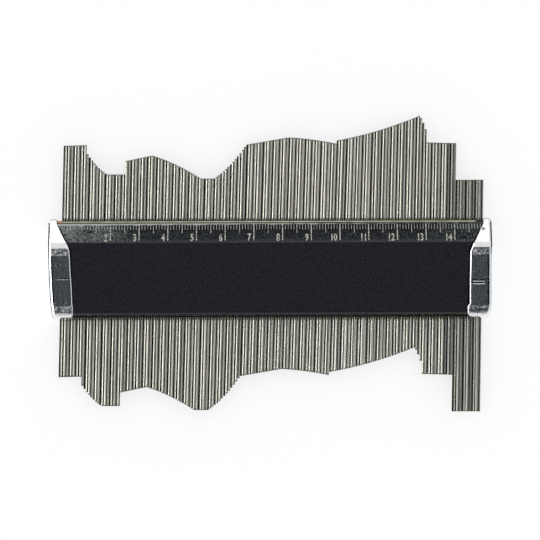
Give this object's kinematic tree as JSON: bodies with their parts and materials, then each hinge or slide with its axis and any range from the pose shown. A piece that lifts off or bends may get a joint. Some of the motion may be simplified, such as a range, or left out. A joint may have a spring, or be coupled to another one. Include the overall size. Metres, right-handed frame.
{
  "type": "contour gauge",
  "caption": "Contour gauge: a row of sliding steel needles held between two black bevelled shells with a centimetre scale and chromed end caps, for copying profiles.",
  "frame": {"origin": "middle of the body along and across, on the plane of the two caps' backs, which the gauge rests on", "axes": "+X along the body as the scale counts up, +Y along the needles towards the bevelled edge with the scale, +Z out of the front face"},
  "size_m": [0.1548, 0.1034, 0.0111],
  "materials": {
    "black_enamel": "gloss black enamel",
    "bright_chrome": "bright chrome plate",
    "brass": "rolled strip, slightly tarnished",
    "spacer_steel": "plain rolled",
    "spring_steel": "blued spring strip",
    "felt": "pressed wool felt",
    "fibre_board": "pressed fibre strip",
    "needle_steel": "drawn wire, bright, slightly yellowed"
  },
  "bodies": {
    "gauge_body": {"front_shell": "black_enamel", "back_shell": "black_enamel", "left_cap": "bright_chrome", "right_cap": "bright_chrome", "front_guide": "brass", "back_guide": "brass", "left_spacer": "spacer_steel", "right_spacer": "spacer_steel", "brake_felt": "felt", "pressure_bar": "spacer_steel", "leaf_spring": "spring_steel", "back_support": "fibre_board"},
    "needle_group_01": {"needles_01": "needle_steel"},
    "needle_group_02": {"needles_02": "needle_steel"},
    "needle_group_03": {"needles_03": "needle_steel"},
    "needle_group_04": {"needles_04": "needle_steel"},
    "needle_group_05": {"needles_05": "needle_steel"},
    "needle_group_06": {"needles_06": "needle_steel"},
    "needle_group_07": {"needles_07": "needle_steel"},
    "needle_group_08": {"needles_08": "needle_steel"},
    "needle_group_09": {"needles_09": "needle_steel"},
    "needle_group_10": {"needles_10": "needle_steel"},
    "needle_group_11": {"needles_11": "needle_steel"},
    "needle_group_12": {"needles_12": "needle_steel"},
    "needle_group_13": {"needles_13": "needle_steel"},
    "needle_group_14": {"needles_14": "needle_steel"},
    "needle_group_15": {"needles_15": "needle_steel"},
    "needle_group_16": {"needles_16": "needle_steel"},
    "needle_group_17": {"needles_17": "needle_steel"},
    "needle_group_18": {"needles_18": "needle_steel"},
    "needle_group_19": {"needles_19": "needle_steel"},
    "needle_group_20": {"needles_20": "needle_steel"},
    "needle_group_21": {"needles_21": "needle_steel"},
    "needle_group_22": {"needles_22": "needle_steel"},
    "needle_group_23": {"needles_23": "needle_steel"},
    "needle_group_24": {"needles_24": "needle_steel"},
    "needle_group_25": {"needles_25": "needle_steel"},
    "needle_group_26": {"needles_26": "needle_steel"},
    "needle_group_27": {"needles_27": "needle_steel"},
    "needle_group_28": {"needles_28": "needle_steel"},
    "needle_group_29": {"needles_29": "needle_steel"},
    "needle_group_30": {"needles_30": "needle_steel"},
    "needle_group_31": {"needles_31": "needle_steel"},
    "needle_group_32": {"needles_32": "needle_steel"},
    "needle_group_33": {"needles_33": "needle_steel"},
    "needle_group_34": {"needles_34": "needle_steel"},
    "needle_group_35": {"needles_35": "needle_steel"},
    "needle_group_36": {"needles_36": "needle_steel"},
    "needle_group_37": {"needles_37": "needle_steel"},
    "needle_group_38": {"needles_38": "needle_steel"},
    "needle_group_39": {"needles_39": "needle_steel"},
    "needle_group_40": {"needles_40": "needle_steel"},
    "needle_group_41": {"needles_41": "needle_steel"},
    "needle_group_42": {"needles_42": "needle_steel"},
    "needle_group_43": {"needles_43": "needle_steel"},
    "needle_group_44": {"needles_44": "needle_steel"},
    "needle_group_45": {"needles_45": "needle_steel"},
    "needle_group_46": {"needles_46": "needle_steel"}
  },
  "joints": [
    {"name": "needles_01_slide", "type": "slide", "parent": "gauge_body", "child": "needle_group_01", "axis": [0.0253, 0.9997, 0], "range_m": [-0.02582, 0.02011]},
    {"name": "needles_02_slide", "type": "slide", "parent": "gauge_body", "child": "needle_group_02", "axis": [0.0257, 0.9997, 0], "range_m": [-0.0259, 0.02002]},
    {"name": "needles_03_slide", "type": "slide", "parent": "gauge_body", "child": "needle_group_03", "axis": [0.026, 0.9997, 0], "range_m": [-0.02169, 0.01998]},
    {"name": "needles_04_slide", "type": "slide", "parent": "gauge_body", "child": "needle_group_04", "axis": [0.0264, 0.9997, 0], "range_m": [-0.01796, 0.02538]},
    {"name": "needles_05_slide", "type": "slide", "parent": "gauge_body", "child": "needle_group_05", "axis": [0.0267, 0.9996, 0], "range_m": [-0.01571, 0.02876]},
    {"name": "needles_06_slide", "type": "slide", "parent": "gauge_body", "child": "needle_group_06", "axis": [0.0271, 0.9996, 0], "range_m": [-0.01571, 0.03028]},
    {"name": "needles_07_slide", "type": "slide", "parent": "gauge_body", "child": "needle_group_07", "axis": [0.0275, 0.9996, 0], "range_m": [-0.01571, 0.02549]},
    {"name": "needles_08_slide", "type": "slide", "parent": "gauge_body", "child": "needle_group_08", "axis": [0.0278, 0.9996, 0], "range_m": [-0.02067, 0.02483]},
    {"name": "needles_09_slide", "type": "slide", "parent": "gauge_body", "child": "needle_group_09", "axis": [0.0282, 0.9996, 0], "range_m": [-0.02133, 0.02417]},
    {"name": "needles_10_slide", "type": "slide", "parent": "gauge_body", "child": "needle_group_10", "axis": [0.0286, 0.9996, 0], "range_m": [-0.02198, 0.02368]},
    {"name": "needles_11_slide", "type": "slide", "parent": "gauge_body", "child": "needle_group_11", "axis": [0.0289, 0.9996, 0], "range_m": [-0.0209, 0.02421]},
    {"name": "needles_12_slide", "type": "slide", "parent": "gauge_body", "child": "needle_group_12", "axis": [0.0293, 0.9996, 0], "range_m": [-0.01954, 0.02542]},
    {"name": "needles_13_slide", "type": "slide", "parent": "gauge_body", "child": "needle_group_13", "axis": [0.0296, 0.9996, 0], "range_m": [-0.01798, 0.02682]},
    {"name": "needles_14_slide", "type": "slide", "parent": "gauge_body", "child": "needle_group_14", "axis": [0.03, 0.9995, 0], "range_m": [-0.01623, 0.02843]},
    {"name": "needles_15_slide", "type": "slide", "parent": "gauge_body", "child": "needle_group_15", "axis": [0.0304, 0.9995, 0], "range_m": [-0.01427, 0.03024]},
    {"name": "needles_16_slide", "type": "slide", "parent": "gauge_body", "child": "needle_group_16", "axis": [0.0307, 0.9995, 0], "range_m": [-0.01421, 0.03178]},
    {"name": "needles_17_slide", "type": "slide", "parent": "gauge_body", "child": "needle_group_17", "axis": [0.0311, 0.9995, 0], "range_m": [-0.01421, 0.03063]},
    {"name": "needles_18_slide", "type": "slide", "parent": "gauge_body", "child": "needle_group_18", "axis": [0.0314, 0.9995, 0], "range_m": [-0.01601, 0.02774]},
    {"name": "needles_19_slide", "type": "slide", "parent": "gauge_body", "child": "needle_group_19", "axis": [0.0318, 0.9995, 0], "range_m": [-0.01911, 0.02402]},
    {"name": "needles_20_slide", "type": "slide", "parent": "gauge_body", "child": "needle_group_20", "axis": [0.0322, 0.9995, 0], "range_m": [-0.02305, 0.0199]},
    {"name": "needles_21_slide", "type": "slide", "parent": "gauge_body", "child": "needle_group_21", "axis": [0.0325, 0.9995, 0], "range_m": [-0.02622, 0.01935]},
    {"name": "needles_22_slide", "type": "slide", "parent": "gauge_body", "child": "needle_group_22", "axis": [0.0329, 0.9995, 0], "range_m": [-0.02677, 0.0188]},
    {"name": "needles_23_slide", "type": "slide", "parent": "gauge_body", "child": "needle_group_23", "axis": [0.0332, 0.9994, 0], "range_m": [-0.02733, 0.01824]},
    {"name": "needles_24_slide", "type": "slide", "parent": "gauge_body", "child": "needle_group_24", "axis": [0.0336, 0.9994, 0], "range_m": [-0.02788, 0.01769]},
    {"name": "needles_25_slide", "type": "slide", "parent": "gauge_body", "child": "needle_group_25", "axis": [0.034, 0.9994, 0], "range_m": [-0.02839, 0.01748]},
    {"name": "needles_26_slide", "type": "slide", "parent": "gauge_body", "child": "needle_group_26", "axis": [0.0343, 0.9994, 0], "range_m": [-0.02809, 0.01766]},
    {"name": "needles_27_slide", "type": "slide", "parent": "gauge_body", "child": "needle_group_27", "axis": [0.0347, 0.9994, 0], "range_m": [-0.02771, 0.01798]},
    {"name": "needles_28_slide", "type": "slide", "parent": "gauge_body", "child": "needle_group_28", "axis": [0.035, 0.9994, 0], "range_m": [-0.02723, 0.01839]},
    {"name": "needles_29_slide", "type": "slide", "parent": "gauge_body", "child": "needle_group_29", "axis": [0.0354, 0.9994, 0], "range_m": [-0.02666, 0.01889]},
    {"name": "needles_30_slide", "type": "slide", "parent": "gauge_body", "child": "needle_group_30", "axis": [0.0358, 0.9994, 0], "range_m": [-0.02634, 0.01839]},
    {"name": "needles_31_slide", "type": "slide", "parent": "gauge_body", "child": "needle_group_31", "axis": [0.0346, 0.9994, 0], "range_m": [-0.02775, 0.01774]},
    {"name": "needles_32_slide", "type": "slide", "parent": "gauge_body", "child": "needle_group_32", "axis": [0.0335, 0.9994, 0], "range_m": [-0.02842, 0.01701]},
    {"name": "needles_33_slide", "type": "slide", "parent": "gauge_body", "child": "needle_group_33", "axis": [0.0323, 0.9995, 0], "range_m": [-0.02918, 0.01619]},
    {"name": "needles_34_slide", "type": "slide", "parent": "gauge_body", "child": "needle_group_34", "axis": [0.0312, 0.9995, 0], "range_m": [-0.03003, 0.01528]},
    {"name": "needles_35_slide", "type": "slide", "parent": "gauge_body", "child": "needle_group_35", "axis": [0.03, 0.9995, 0], "range_m": [-0.03096, 0.01429]},
    {"name": "needles_36_slide", "type": "slide", "parent": "gauge_body", "child": "needle_group_36", "axis": [0.0289, 0.9996, 0], "range_m": [-0.03198, 0.01321]},
    {"name": "needles_37_slide", "type": "slide", "parent": "gauge_body", "child": "needle_group_37", "axis": [0.0278, 0.9996, 0], "range_m": [-0.03308, 0.01204]},
    {"name": "needles_38_slide", "type": "slide", "parent": "gauge_body", "child": "needle_group_38", "axis": [0.0266, 0.9996, 0], "range_m": [-0.03427, 0.01079]},
    {"name": "needles_39_slide", "type": "slide", "parent": "gauge_body", "child": "needle_group_39", "axis": [0.0255, 0.9997, 0], "range_m": [-0.03345, 0.01012]},
    {"name": "needles_40_slide", "type": "slide", "parent": "gauge_body", "child": "needle_group_40", "axis": [0.0243, 0.9997, 0], "range_m": [-0.02655, 0.01477]},
    {"name": "needles_41_slide", "type": "slide", "parent": "gauge_body", "child": "needle_group_41", "axis": [0.0232, 0.9997, 0], "range_m": [-0.02646, 0.01946]},
    {"name": "needles_42_slide", "type": "slide", "parent": "gauge_body", "child": "needle_group_42", "axis": [0.022, 0.9998, 0], "range_m": [-0.02637, 0.01956]},
    {"name": "needles_43_slide", "type": "slide", "parent": "gauge_body", "child": "needle_group_43", "axis": [0.0209, 0.9998, 0], "range_m": [-0.0135, 0.01965]},
    {"name": "needles_44_slide", "type": "slide", "parent": "gauge_body", "child": "needle_group_44", "axis": [0.0197, 0.9998, 0], "range_m": [-0.0135, 0.03249]},
    {"name": "needles_45_slide", "type": "slide", "parent": "gauge_body", "child": "needle_group_45", "axis": [0.0186, 0.9998, 0], "range_m": [-0.0135, 0.03249]},
    {"name": "needles_46_slide", "type": "slide", "parent": "gauge_body", "child": "needle_group_46", "axis": [0.0175, 0.9998, 0], "range_m": [-0.0135, 0.03249]}
  ]
}
